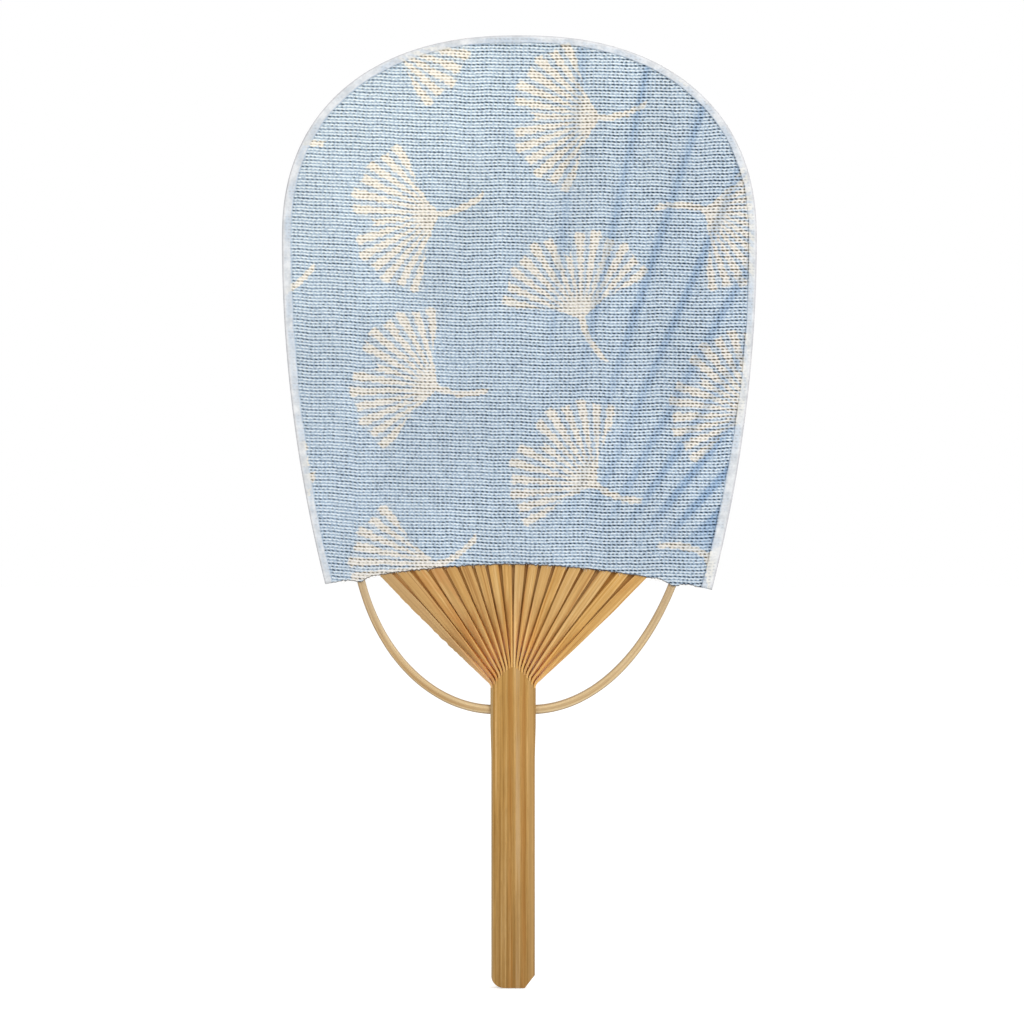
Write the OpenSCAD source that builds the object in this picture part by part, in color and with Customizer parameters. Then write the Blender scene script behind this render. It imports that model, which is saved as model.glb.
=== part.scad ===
// Flat-handled bamboo fan with a fabric leaf. Millimetres, +Z up along the handle.
// The front of the leaf faces -Y. The origin is in the middle of the hand grip.
// Heights are worked out from the butt end and moved to the grip at the end.

/* [Handle] */
// Width of the slat along the grip
handle_w = 17.4; // [14:0.1:24]
// Width of the slat at its head, where the bow passes through
head_w = 18.1; // [16.5:0.1:26]
// Thickness of the slat
handle_t = 6; // [5:0.1:7.5]
// Height above the butt at which the slat starts to widen to its head
head_start = 92; // [70:1:100]
// Height above the butt at which the slat has the width of its head
head_full = 105; // [101:0.5:110]
// Height of the middle of the hand grip above the butt
grip_z = 50; // [35:1:60]
// Width of the rounded left corner at the butt
butt_round_w = 5.4; // [1:0.1:6]
// Height of that corner
butt_round_h = 4.8; // [1:0.1:8]
// Width of the cut at the right corner of the butt
butt_cut_w = 4.1; // [1:0.1:6]
// Height of that cut
butt_cut_h = 5.2; // [1:0.1:8]
// Radius of the long edges
edge_r = 1.1; // [0.3:0.1:2]

/* [Bow] */
// Height of the bow's hole above the butt
bow_z = 111; // [106:0.5:114]
// Diameter of the bow in the hole
bow_d = 3.8; // [2.6:0.1:4]
// Clearance round the bow in its hole
bow_clearance = 0.1; // [0.05:0.01:0.3]
// How far inside the head's sides the bow starts to bend
bow_bend_in = 2; // [0:0.1:2.4]
// Half width of the ellipse that each arm follows
bow_arc_w = 61.3; // [60.5:0.1:66]
// Half height of that ellipse
bow_arc_h = 89.4; // [82:0.1:95.5]
// Sideways shift of the bow where it meets the leaf
bow_skew = 1.6; // [-2:0.1:2]
// Width of the bow where it goes under the leaf
bow_neck_w = 3.2; // [2:0.1:4]
// Thickness of the bow where it goes under the leaf
bow_neck_t = 1.5; // [1:0.05:1.6]
// Width of the bow at its tips
bow_tip_w = 2.4; // [2:0.1:3]
// Thickness of the bow at its tips
bow_tip_t = 1.1; // [0.8:0.05:1.15]
// Length of bow beyond the string
bow_tip_past = 4; // [3:0.5:5]

/* [Ribs] */
// Number of ribs in the front row
front_ribs = 18; // [12:1:18]
// Height above the butt at which the middle splits end
root_z = 128.2; // [124:0.2:134]
// How much lower the outermost splits end
root_drop = 9.2; // [4:0.2:10]
// Power of the curve that the ends of the splits follow
root_power = 1.5; // [1.2:0.1:2.5]
// Width of the saw kerf between two ribs
kerf = 0.14; // [0.08:0.02:0.2]
// Spacing of the middle ribs along the string
string_pitch = 5.85; // [5.7:0.05:5.95]
// How much further out the outermost ribs lie than that spacing gives, as a share
string_spread = 0.115; // [0.08:0.005:0.13]
// Length over which a rib bends out to its direction
bend_len = 2.5; // [1.5:0.5:4]
// Distance from the root at which a rib lies flat
flat_len = 34; // [32:1:40]
// Distance from the root at which a rib has its full width
full_len = 45; // [42:1:60]
// Full width of a rib
rib_w = 4.2; // [3:0.1:4.4]
// Thickness of a rib in the leaf
rib_t = 0.6; // [0.6:0.05:0.8]
// Width of a rib at its tip
rib_tip_w = 3.2; // [2:0.1:4]

/* [String] */
// Diameter of the string
string_d = 0.5; // [0.45:0.05:0.7]
// Free space on each side of the string, between it and the ribs
string_gap = 0.02; // [0.01:0.01:0.1]
// Height of the string above the leaf's lower edge
string_in = 5; // [4:0.5:10]
// Length of bow that the string is wound round
wrap_len = 2; // [1:0.2:3]
// Thickness of the winding
wrap_t = 0.2; // [0.1:0.05:0.2]
// Clearance between the winding and the bow
wrap_gap = 0.08; // [0.06:0.01:0.12]

/* [Leaf] */
// Greatest width of the leaf
leaf_w = 189.6; // [170:0.5:210]
// Height above the butt at which the leaf is widest
leaf_wide_z = 298.8; // [280:1:320]
// Height of the round top above the widest place
leaf_top_h = 81.6; // [60:0.5:100]
// Power of the round top's curve, where 2 is an ellipse
leaf_power = 2.3; // [2:0.05:3]
// Height above the butt of the two lower corners
corner_z = 160; // [158:0.5:164]
// How much each side draws in from the widest place to the corner
side_taper = 17.6; // [5:0.5:25]
// Rise of the hollowed lower edge in its middle
arch_rise = 9; // [5:0.5:12]
// Power of the lower edge's curve
arch_power = 1.8; // [1.5:0.1:2.5]
// Slope of the lower edge down to the right, in degrees
edge_tilt = 0.9; // [-1.5:0.1:1.5]
// Sideways shift of the leaf from the handle's middle
leaf_shift = 2.5; // [-3:0.1:3]
// Thickness of the front fabric with its paste
front_t = 0.35; // [0.2:0.05:0.6]
// Thickness of the rear backing
rear_t = 0.25; // [0.15:0.05:0.6]

/* [Edge binding] */
// Width of the strip on each face
binding_w = 2.8; // [1.5:0.1:6]
// Thickness of the strip
binding_t = 0.2; // [0.1:0.05:0.4]
// Distance of the rib tips from the leaf's edge
tip_margin = 1; // [0.5:0.1:3]

/* [Hidden] */
$fn = 48;
rear_ribs = front_ribs - 1;
two_digits = function(n) str(n < 10 ? "0" : "", n);
front_names = [for (i = [1:front_ribs]) str("front_rib_", two_digits(i))];
rear_names = [for (i = [1:rear_ribs]) str("rear_rib_", two_digits(i))];
other_names = ["handle", "bow", "weaving_string", "front_leaf", "rear_leaf", "edge_binding"];

// Row of ribs at the head
root_pitch = head_w / front_ribs;
root_w = root_pitch - kerf;
layer_gap = string_d / 2 + string_gap;
root_depth = handle_t / 2 - layer_gap;
full_twist = 90;
twist_power = 1.5;
width_power = 2;
// Distances from the root of a rib's cross sections, the last one being its tip
rib_stations = [0, 1, 2, 3, 4, 7, 10, 13, 16, 19, 22, 25, 28, 31];

// Depths of the layers, outwards from the middle plane
layer_out = layer_gap + rib_t;
front_out = layer_out + front_t;
rear_out = layer_out + rear_t;

// Length of the bow's straight stretch on each side of the middle
bow_straight = head_w / 2 - bow_bend_in;
leaf_low_h = leaf_wide_z - corner_z;
corner_half = leaf_w / 2 - side_taper;
top_steps = 64;
side_steps = 16;
arch_steps = 32;
arm_steps = 30;
arm_sides = 16;
// An arm's first rings are a little smaller than the straight stretch that they start inside
arm_seat = 0.97;
string_steps = 44;
string_sides = 8;
// Length by which one shape runs into or past another
trim = 1;
// Bend below which a rib counts as straight, in degrees
least_bend = 0.01;
// Angles on an arm's ellipse between which its crossings are searched, and the halvings of a search
arm_low = 10;
arm_high = 85;
halvings = 24;
// Half the angle over which an arm's direction is taken
heading_step = 0.1;

// Fan colours
bamboo = [0.74, 0.57, 0.34];
rib_bamboo = [0.80, 0.64, 0.42];
bow_bamboo = [0.82, 0.70, 0.50];
thread = [0.93, 0.91, 0.85];
fabric_blue = [0.69, 0.76, 0.82];
backing_white = [0.94, 0.92, 0.87];
paper_white = [0.88, 0.89, 0.90];

// Outline of the leaf in its own frame: x from its middle line, z from the butt.
// inset draws the outline in by that distance at the top and the sides.
function side_half(z, inset = 0) =
    leaf_w / 2 - inset - side_taper * pow((leaf_wide_z - z) / leaf_low_h, 2);
function arch_z(x) =
    corner_z + arch_rise * (1 - pow(min(abs(x) / corner_half, 1), arch_power)) - x * tan(edge_tilt);
function top_point(a, inset = 0) = [
    (leaf_w / 2 - inset) * sign(cos(a)) * pow(abs(cos(a)), 2 / leaf_power),
    leaf_wide_z + (leaf_top_h - inset) * pow(sin(a), 2 / leaf_power)
];
function side_point(side, k, inset) =
    let (low = arch_z(side * corner_half), z = low + (leaf_wide_z - low) * k / side_steps)
        [side * side_half(z, inset), z];
function rim_points(inset = 0) = concat(
    [for (k = [0:side_steps]) side_point(1, k, inset)],
    [for (k = [1:top_steps - 1]) top_point(180 * k / top_steps, inset)],
    [for (k = [side_steps:-1:0]) side_point(-1, k, inset)]
);
function arch_points() = [
    for (k = [1:arch_steps - 1])
        let (x = corner_half * (2 * k / arch_steps - 1))
            [x, arch_z(x)]
];
function leaf_points() = concat(rim_points(), arch_points());

// Whether a point of the part's x-z plane is inside the leaf
function in_leaf(p, inset) =
    let (x = abs(p[0] - leaf_shift), z = p[1])
        z <= leaf_wide_z
            ? x < side_half(z, inset)
            : pow(x / (leaf_w / 2 - inset), leaf_power)
                + pow((z - leaf_wide_z) / (leaf_top_h - inset), leaf_power) < 1;

// Ribs. place is the rib's number from the middle, in steps of one pitch.
function root_height(x) = root_z - root_drop * pow(min(abs(x) / (head_w / 2), 1), root_power);
function root_x(place) = place * root_pitch;
function string_x(place) =
    place * string_pitch * (1 + string_spread * pow(2 * place / (front_ribs - 1), 2));
function string_z(x) = arch_z(x - leaf_shift) + string_in;
function rib_angle(place) =
    let (s = string_x(place), x = root_x(place))
        atan2(s - x, string_z(s) - root_height(x) - bend_len / 2);

// Middle of a rib at distance r from its root: an arc over bend_len, then straight
function rib_xz(place, r) =
    let (
        x = root_x(place),
        z = root_height(x),
        a = rib_angle(place),
        part_a = a * min(r, bend_len) / bend_len,
        radius = abs(a) < least_bend ? 0 : bend_len * 180 / PI / a,
        bend = abs(a) < least_bend
            ? [0, min(r, bend_len)]
            : [radius * (1 - cos(part_a)), radius * sin(part_a)],
        run = max(r - bend_len, 0)
    )
        [x + bend[0] + run * sin(a), z + bend[1] + run * cos(a)];
function rib_heading(place, r) = rib_angle(place) * min(r, bend_len) / bend_len;
function tip_fits(place, r) =
    let (p = rib_xz(place, r), a = rib_angle(place), across = rib_tip_w / 2 * [cos(a), -sin(a)])
        in_leaf(p + across, tip_margin) && in_leaf(p - across, tip_margin);
function rib_reach(place, low, high, steps) =
    steps == 0
        ? low
        : let (middle = (low + high) / 2)
            tip_fits(place, middle)
                ? rib_reach(place, middle, high, steps - 1)
                : rib_reach(place, low, middle, steps - 1);
function twist_at(r) = full_twist * pow(min(r / flat_len, 1), twist_power);
function depth_at(r, reach) =
    r < full_len
        ? root_depth + (rib_w - root_depth) * pow(r / full_len, width_power)
        : rib_w + (rib_tip_w - rib_w) * (r - full_len) / (reach - full_len);
function thick_at(r) = root_w + (rib_t - root_w) * min(r / flat_len, 1);

// One cross section of a rib. side is -1 in the front row and 1 in the rear row.
function rib_ring(place, r, reach, side) =
    let (
        p = rib_xz(place, r),
        heading = rib_heading(place, r),
        twist = twist_at(r) * (place < 0 ? -1 : 1),
        half_d = depth_at(r, reach) / 2,
        half_t = thick_at(r) / 2,
        half_y = half_d * cos(twist) + half_t * sin(abs(twist)),
        y = side * (layer_gap + half_y)
    )
        [for (c = [[-1, -1], [1, -1], [1, 1], [-1, 1]])
            let (
                t = c[0] * half_t,
                d = c[1] * half_d,
                across = t * cos(twist) + d * sin(twist),
                deep = d * cos(twist) - t * sin(twist)
            )
                [p[0] + across * cos(heading), y + deep, p[1] - across * sin(heading)]];

// A closed tube of rings that all have the same number of points
module skin(rings) {
    n = len(rings[0]);
    last = len(rings) - 1;
    points = [for (ring = rings) each ring];
    walls = [
        for (k = [0:last - 1])
            for (j = [0:n - 1])
                let (a = k * n + j, b = k * n + (j + 1) % n)
                    each [[a, b + n, b], [a, a + n, b + n]]
    ];
    low_cap = [for (j = [1:n - 2]) [0, j, j + 1]];
    high_cap = [for (j = [1:n - 2]) [last * n, last * n + j + 1, last * n + j]];
    polyhedron(points = points, faces = concat(walls, low_cap, high_cap));
}

module rib(place, side) {
    reach = rib_reach(place, full_len, leaf_w * 2, halvings);
    stations = concat(rib_stations, [flat_len, (flat_len + full_len) / 2, full_len, reach]);
    skin([for (r = stations) rib_ring(place, r, reach, side)]);
}

module front_rib(i) {
    color(rib_bamboo) rib(i - (front_ribs - 1) / 2, -1);
}

module rear_rib(i) {
    color(rib_bamboo) rib(i - (rear_ribs - 1) / 2, 1);
}

// Handle: its front outline, its rounded section, the stepped ends of the splits and the hole
module slat_outline() {
    half = handle_w / 2;
    head = head_w / 2;
    low_top = root_height(head);
    union() {
        translate([butt_round_w - half, butt_round_h])
            scale([butt_round_w, butt_round_h]) circle(1);
        polygon([
            [butt_round_w - half, 0], [half - butt_cut_w, 0], [half, butt_cut_h],
            [half, head_start], [-half, head_start], [-half, butt_round_h]
        ]);
        polygon([
            [-half, head_start - trim], [half, head_start - trim], [half, head_start],
            [head, head_full], [head, low_top], [-head, low_top],
            [-head, head_full], [-half, head_start]
        ]);
    }
}

module slat_section() {
    flat_w = head_w - 2 * edge_r;
    flat_t = handle_t - 2 * edge_r;
    square([flat_w, handle_t], center = true);
    square([head_w, flat_t], center = true);
    for (s = [-1, 1], t = [-1, 1])
        translate([s * flat_w / 2, t * flat_t / 2]) circle(edge_r);
}

// The ledges that the ribs of one row stand on
module split_ledges(count, side) {
    low_top = root_height(head_w / 2);
    for (i = [0:count - 1]) {
        x = root_x(i - (count - 1) / 2);
        translate([x - root_pitch / 2, side < 0 ? -handle_t / 2 : layer_gap, low_top - trim])
            cube([root_pitch, root_depth, root_height(x) - low_top + trim]);
    }
}

module handle() {
    color(bamboo)
    difference() {
        intersection() {
            union() {
                translate([0, handle_t / 2, 0])
                    rotate([90, 0, 0]) linear_extrude(handle_t) slat_outline();
                split_ledges(front_ribs, -1);
                split_ledges(rear_ribs, 1);
            }
            linear_extrude(root_z) slat_section();
        }
        translate([-head_w, 0, bow_z])
            rotate([0, 90, 0]) cylinder(r = bow_d / 2 + bow_clearance, h = 2 * head_w);
    }
}

// Bow. a is the angle on an arm's ellipse and u the height above the hole.
function arm_xz(side, a) =
    let (u = bow_arc_h * (1 - cos(a)))
        [side * (bow_straight + bow_arc_w * sin(a)) + bow_skew * pow(u / (corner_z - bow_z), 2),
         bow_z + u];
function arm_heading(side, a) =
    let (p = arm_xz(side, a - heading_step), q = arm_xz(side, a + heading_step))
        atan2(q[0] - p[0], q[1] - p[1]);
function arm_edge_gap(side, a) =
    let (p = arm_xz(side, a)) p[1] - arch_z(p[0] - leaf_shift);
// Angle on the ellipse at which an arm is a given height above the leaf's lower edge
function arm_angle(side, height, low = arm_low, high = arm_high, steps = halvings) =
    steps == 0
        ? low
        : let (middle = (low + high) / 2)
            arm_edge_gap(side, middle) < height
                ? arm_angle(side, height, middle, high, steps - 1)
                : arm_angle(side, height, low, middle, steps - 1);
function blend(a, b, k) = a + (b - a) * min(max(k, 0), 1);
function smooth(k) = let (c = min(max(k, 0), 1)) c * c * (3 - 2 * c);

// One cross section of an arm: an ellipse, w wide in the leaf's plane and t thick
function arm_ring(p, heading, w, t) = [
    for (j = [0:arm_sides - 1])
        let (b = 360 * j / arm_sides, across = w / 2 * cos(b))
            [p[0] + across * cos(heading), t / 2 * sin(b), p[1] - across * sin(heading)]
];

module bow_arm(side) {
    neck_a = arm_angle(side, 0);
    thinned_a = arm_angle(side, string_in - wrap_len);
    tip_a = arm_angle(side, string_in + bow_tip_past);
    thin_a = neck_a / 2;
    start_d = bow_d * arm_seat;
    angles = [for (k = [1:arm_steps]) tip_a * k / arm_steps];
    skin(concat(
        [
            for (x = [bow_straight - trim, bow_straight])
                arm_ring([side * x, bow_z], side * 90, start_d, start_d)
        ],
        [
            for (a = angles)
                let (
                    past = (a - neck_a) / (thinned_a - neck_a),
                    w = a < neck_a
                        ? blend(start_d, bow_neck_w, a / neck_a)
                        : blend(bow_neck_w, bow_tip_w, past),
                    t = a < neck_a
                        ? blend(start_d, bow_neck_t, smooth((a - thin_a) / (neck_a - thin_a)))
                        : blend(bow_neck_t, bow_tip_t, past)
                )
                    arm_ring(arm_xz(side, a), arm_heading(side, a), w, t)
        ]
    ));
}

module bow() {
    color(bow_bamboo) {
        translate([-bow_straight, 0, bow_z])
            rotate([0, 90, 0]) cylinder(d = bow_d, h = 2 * bow_straight);
        for (side = [-1, 1]) bow_arm(side);
    }
}

// String: a tube along the row of ribs from bow to bow, and its winding on each end of the bow
module string_wrap(side) {
    a = arm_angle(side, string_in);
    p = arm_xz(side, a);
    inner_w = bow_tip_w / 2 + wrap_gap;
    inner_t = bow_tip_t / 2 + wrap_gap;
    ellipse = function(w, t) [for (j = [0:2 * arm_sides - 1])
        let (b = 180 * j / arm_sides) [w * cos(b), t * sin(b)]];
    translate([p[0], 0, p[1]]) rotate([0, arm_heading(side, a), 0])
        linear_extrude(wrap_len, center = true) difference() {
            polygon(ellipse(inner_w + wrap_t, inner_t + wrap_t));
            polygon(ellipse(inner_w, inner_t));
        }
}

module weaving_string() {
    left = arm_xz(-1, arm_angle(-1, string_in));
    right = arm_xz(1, arm_angle(1, string_in));
    inset = bow_tip_w / 2 + wrap_gap + wrap_t / 2;
    start_x = left[0] + inset;
    end_x = right[0] - inset;
    path = [for (k = [0:string_steps])
        let (x = start_x + (end_x - start_x) * k / string_steps)
            [x, string_z(x)]];
    color(thread) {
        skin([for (p = path)
            [for (j = [0:string_sides - 1])
                let (b = 360 * j / string_sides + 180 / string_sides)
                    [p[0], string_d / 2 * cos(b), p[1] + string_d / 2 * sin(b)]]]);
        for (side = [-1, 1]) string_wrap(side);
    }
}

// Leaf pieces: extruded along Y from y_low to y_high
module leaf_slab(y_low, y_high) {
    translate([leaf_shift, y_high, 0])
        rotate([90, 0, 0]) linear_extrude(y_high - y_low) children();
}

module front_leaf() {
    color(fabric_blue) leaf_slab(-front_out, -layer_out) polygon(leaf_points());
}

module rear_leaf() {
    color(backing_white) leaf_slab(layer_out, rear_out) polygon(leaf_points());
}

// The rim's outline at an inset, closed by a line that runs low_by below its two ends
module rim_area(inset, low_by) {
    rim = rim_points(inset);
    below = [for (p = [rim[len(rim) - 1], rim[0]]) p - [0, low_by]];
    polygon(concat(rim, below));
}

module edge_binding() {
    color(paper_white)
    difference() {
        leaf_slab(-front_out - binding_t, rear_out + binding_t) rim_area(-binding_t, 0);
        leaf_slab(-front_out, rear_out) rim_area(0, 2 * trim);
        leaf_slab(-front_out - 2 * trim, rear_out + 2 * trim) rim_area(binding_w, 2 * trim);
    }
}

// Everything is moved down so that the origin is in the middle of the grip
module at_grip() {
    translate([0, 0, -grip_z]) children();
}

at_grip() handle();
at_grip() bow();
at_grip() weaving_string();
at_grip() front_leaf();
at_grip() rear_leaf();
at_grip() edge_binding();
for (i = [0:front_ribs - 1]) at_grip() front_rib(i);
for (i = [0:rear_ribs - 1]) at_grip() rear_rib(i);
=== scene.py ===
import math
import random

import bmesh
import bpy
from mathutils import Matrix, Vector, noise


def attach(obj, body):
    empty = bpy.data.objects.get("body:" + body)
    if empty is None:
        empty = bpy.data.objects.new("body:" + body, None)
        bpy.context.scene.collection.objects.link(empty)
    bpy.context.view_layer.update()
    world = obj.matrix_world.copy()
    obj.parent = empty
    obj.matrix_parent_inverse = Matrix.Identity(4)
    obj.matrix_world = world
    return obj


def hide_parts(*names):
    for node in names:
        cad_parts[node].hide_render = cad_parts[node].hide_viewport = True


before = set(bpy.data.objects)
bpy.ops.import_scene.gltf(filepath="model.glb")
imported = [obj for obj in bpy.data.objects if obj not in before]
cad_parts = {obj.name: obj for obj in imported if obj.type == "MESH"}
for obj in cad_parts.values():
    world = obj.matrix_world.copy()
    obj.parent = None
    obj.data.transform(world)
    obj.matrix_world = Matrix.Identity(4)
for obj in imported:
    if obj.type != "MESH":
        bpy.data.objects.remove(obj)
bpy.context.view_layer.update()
mm = 0.001
gripHeight = 50.0  # height of the origin above the butt, in mm
print("frame loaded,", len(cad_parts), "nodes")


def mix(a, b, k):
    return a + (b - a) * min(max(k, 0.0), 1.0)


def ease(k):
    k = min(max(k, 0.0), 1.0)
    return k * k * (3.0 - 2.0 * k)


def bump(x, width):
    return math.exp(-(x / width) ** 2)


def wander(x, z, size, seed=0.0):
    return noise.noise(Vector((x / size, seed, z / size)))


def at(x, y, z):
    return Vector((x * mm, y * mm, (z - gripHeight) * mm))  # mm, z from the butt


def srgb(r, g, b):
    def linear(c):
        c /= 255.0
        return c / 12.92 if c <= 0.04045 else ((c + 0.055) / 1.055) ** 2.4
    return (linear(r), linear(g), linear(b), 1.0)


def meshOf(bm, name):
    mesh = bpy.data.meshes.new(name)
    bm.to_mesh(mesh)
    bm.free()
    return mesh


def addObject(name, data):
    made = bpy.data.objects.new(name, data)
    bpy.context.scene.collection.objects.link(made)
    return made


def longEdges(bm):
    return [e for e in bm.edges if abs(e.verts[0].co.z - e.verts[1].co.z) > 0.5]


def makeSmooth(mesh, sharpAngle=None):
    for face in mesh.polygons:
        face.use_smooth = True
    if sharpAngle:
        mesh.set_sharp_from_angle(angle=math.radians(sharpAngle))


def makePiece(bm, name, material, replaced=(), sharpAngle=None):
    mesh = meshOf(bm, name)
    mesh.materials.append(material)
    makeSmooth(mesh, sharpAngle)
    piece = addObject(name, mesh)
    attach(piece, "root")
    if replaced:
        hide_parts(*replaced)
    return piece


# Node helpers: most return the output socket that the next one takes.
def give(tree, socket, value):
    if isinstance(value, bpy.types.NodeSocket):
        tree.links.new(value, socket)
    else:
        socket.default_value = value


def addNode(tree, kind, inputs=(), **settings):
    made = tree.nodes.new(kind)
    for key, value in settings.items():
        setattr(made, key, value)
    for key, value in dict(inputs).items():
        give(tree, made.inputs[key], value)
    return made


def calc(tree, operation, *values):
    return addNode(tree, "ShaderNodeMath", enumerate(values), operation=operation).outputs[0]


def times(tree, a, b):
    return calc(tree, "MULTIPLY", a, b)


def plus(tree, a, b):
    return calc(tree, "ADD", a, b)


def minus(tree, a, b):
    return calc(tree, "SUBTRACT", a, b)


def rise(tree, value, low, high, toLow=0.0, toHigh=1.0):
    inputs = {"Value": value, "From Min": low, "From Max": high, "To Min": toLow, "To Max": toHigh}
    return addNode(tree, "ShaderNodeMapRange", inputs, interpolation_type="SMOOTHSTEP").outputs[0]


def mixColor(tree, factor, a, b, mode="MIX"):
    made = addNode(tree, "ShaderNodeMix", {0: factor, 6: a, 7: b}, data_type="RGBA", blend_type=mode)
    return made.outputs[2]


def tinted(tree, factor, color, tint):
    return mixColor(tree, factor, color, mixColor(tree, 1.0, color, tint, "MULTIPLY"))


def stored(tree, name, kind="Fac"):
    return addNode(tree, "ShaderNodeAttribute", (), attribute_name=name).outputs[kind]


def objectPlace(tree):
    return addNode(tree, "ShaderNodeTexCoord").outputs["Object"]


def partsOf(tree, vector):
    return addNode(tree, "ShaderNodeSeparateXYZ", {0: vector}).outputs


def joined(tree, **parts):
    return addNode(tree, "ShaderNodeCombineXYZ", parts).outputs[0]


def chanceOf(tree, vector):
    return addNode(tree, "ShaderNodeTexWhiteNoise", {"Vector": vector}, noise_dimensions="3D").outputs


def scaled(tree, vector, x, y, z):
    return addNode(tree, "ShaderNodeVectorMath", {0: vector, 1: (x, y, z)},
                   operation="MULTIPLY").outputs[0]


def cloud(tree, vector, scale=1.0, detail=2.0, roughness=0.5):
    inputs = {"Vector": vector, "Scale": scale, "Detail": detail, "Roughness": roughness}
    return addNode(tree, "ShaderNodeTexNoise", inputs).outputs[0]


def centred(tree, value, amount):
    return times(tree, minus(tree, value, 0.5), amount)


def brighten(tree, color, factor):
    made = addNode(tree, "ShaderNodeVectorMath", {0: color, "Scale": factor}, operation="SCALE")
    return made.outputs[0]


def makeGroup(name, inputs, outputs):
    tree = bpy.data.node_groups.new(name, "ShaderNodeTree")
    for label, kind, value in inputs:
        socket = tree.interface.new_socket(label, in_out="INPUT", socket_type=kind)
        if value is not None:
            socket.default_value = value
    for label, kind in outputs:
        tree.interface.new_socket(label, in_out="OUTPUT", socket_type=kind)
    return tree, tree.nodes.new("NodeGroupInput").outputs, tree.nodes.new("NodeGroupOutput").inputs


def makeMaterial(name):
    material = bpy.data.materials.new(name)
    material.use_nodes = True
    return material, material.node_tree, material.node_tree.nodes["Principled BSDF"].inputs


def placeGroup(tree, group, inputs):
    return addNode(tree, "ShaderNodeGroup", inputs, node_tree=group).outputs


def surface(tree, shader, color, roughness, height, distance, strength, specular):
    give(tree, shader["Base Color"], color)
    give(tree, shader["Roughness"], roughness)
    inputs = {"Height": height, "Distance": distance * mm, "Strength": strength}
    give(tree, shader["Normal"], addNode(tree, "ShaderNodeBump", inputs).outputs[0])
    shader["Specular IOR Level"].default_value = specular


# Bamboo: streaks, fine fibres and short dark vessels along the grain's Z.
floatSocket, colorSocket, vectorSocket = "NodeSocketFloat", "NodeSocketColor", "NodeSocketVector"
bambooGrain, given, out = makeGroup("bambooGrain", [
    ("Grain", vectorSocket, None), ("Light", colorSocket, None), ("Mid", colorSocket, None),
    ("Dark", colorSocket, None), ("Fibres", floatSocket, 0.3), ("Vessels", floatSocket, 0.4),
], [("Color", colorSocket), ("Roughness", floatSocket), ("Height", floatSocket)])
broad = cloud(bambooGrain, scaled(bambooGrain, given["Grain"], 900, 900, 9), 1, 3, 0.6)
fine = cloud(bambooGrain, scaled(bambooGrain, given["Grain"], 2700, 2700, 66), 1, 3, 0.65)
short = cloud(bambooGrain, scaled(bambooGrain, given["Grain"], 6500, 6500, 230), 1, 1, 0.5)
patch = cloud(bambooGrain, scaled(bambooGrain, given["Grain"], 160, 160, 22), 1, 2, 0.5)
tone = plus(bambooGrain, broad, centred(bambooGrain, patch, 0.35))
color = mixColor(bambooGrain, rise(bambooGrain, tone, 0.32, 0.5), given["Dark"], given["Mid"])
color = mixColor(bambooGrain, rise(bambooGrain, tone, 0.5, 0.7), color, given["Light"])
fibre = times(bambooGrain, centred(bambooGrain, fine, 2.0), given["Fibres"])
color = brighten(bambooGrain, color, plus(bambooGrain, 1.0, fibre))
vessel = times(bambooGrain, rise(bambooGrain, short, 0.6, 0.72), given["Vessels"])
color = mixColor(bambooGrain, vessel, color, given["Dark"])
bambooGrain.links.new(color, out["Color"])
bambooGrain.links.new(rise(bambooGrain, fine, 0.2, 0.8, 0.38, 0.62), out["Roughness"])
bambooGrain.links.new(minus(bambooGrain, fine, vessel), out["Height"])


def makeBamboo(name, light, mid, dark, fibres, vessels):
    material, tree, shader = makeMaterial(name)
    grain = stored(tree, "grain", "Vector")
    wood = placeGroup(tree, bambooGrain, {
        "Grain": grain, "Light": srgb(*light), "Mid": srgb(*mid), "Dark": srgb(*dark),
        "Fibres": fibres, "Vessels": vessels})
    return material, tree, shader, grain, wood


# Handle: streaks (middle, half width in m, colour, amount), a grey left edge, and a painted shadow
# along the right one.
streaks = [(0.0019, 0.0011, (190, 158, 116), 0.6), (-0.0011, 0.0012, (168, 112, 44), 0.55),
           (0.0042, 0.0013, (168, 112, 46), 0.5)]
handleFinish, tree, shader, grain, wood = makeBamboo(
    "handleFinish", (210, 168, 106), (186, 142, 76), (160, 116, 52), 0.36, 0.45)
across, along = partsOf(tree, grain)["X"], partsOf(tree, grain)["Z"]
color = brighten(tree, wood["Color"], rise(tree, along, -0.05, 0.07, 0.74, 0.98))
streaky = cloud(tree, scaled(tree, grain, 420, 420, 26), 1, 2, 0.6)
for middle, half, tone, amount in streaks:
    off = calc(tree, "ABSOLUTE", minus(tree, across, middle))
    show = times(tree, rise(tree, off, half, half * 0.4, 0, amount),
                 rise(tree, streaky, 0.38, 0.6, 0.3, 1))
    color = mixColor(tree, show, color, srgb(*tone))
color = mixColor(tree, rise(tree, across, -0.0078, -0.0083, 0, 0.55), color, srgb(158, 140, 108))
band = times(tree, rise(tree, across, 0.0058, 0.0065, 0, 0.5), rise(tree, across, 0.0082, 0.0078))
color = mixColor(tree, band, color, srgb(188, 151, 98))
# painted shadow: a thin dark line along the right edge
color = mixColor(tree, rise(tree, across, 0.0078, 0.0084, 0, 0.5), color, srgb(142, 112, 74))
surface(tree, shader, color, wood["Roughness"], wood["Height"], 0.06, 0.5, 0.22)
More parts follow.
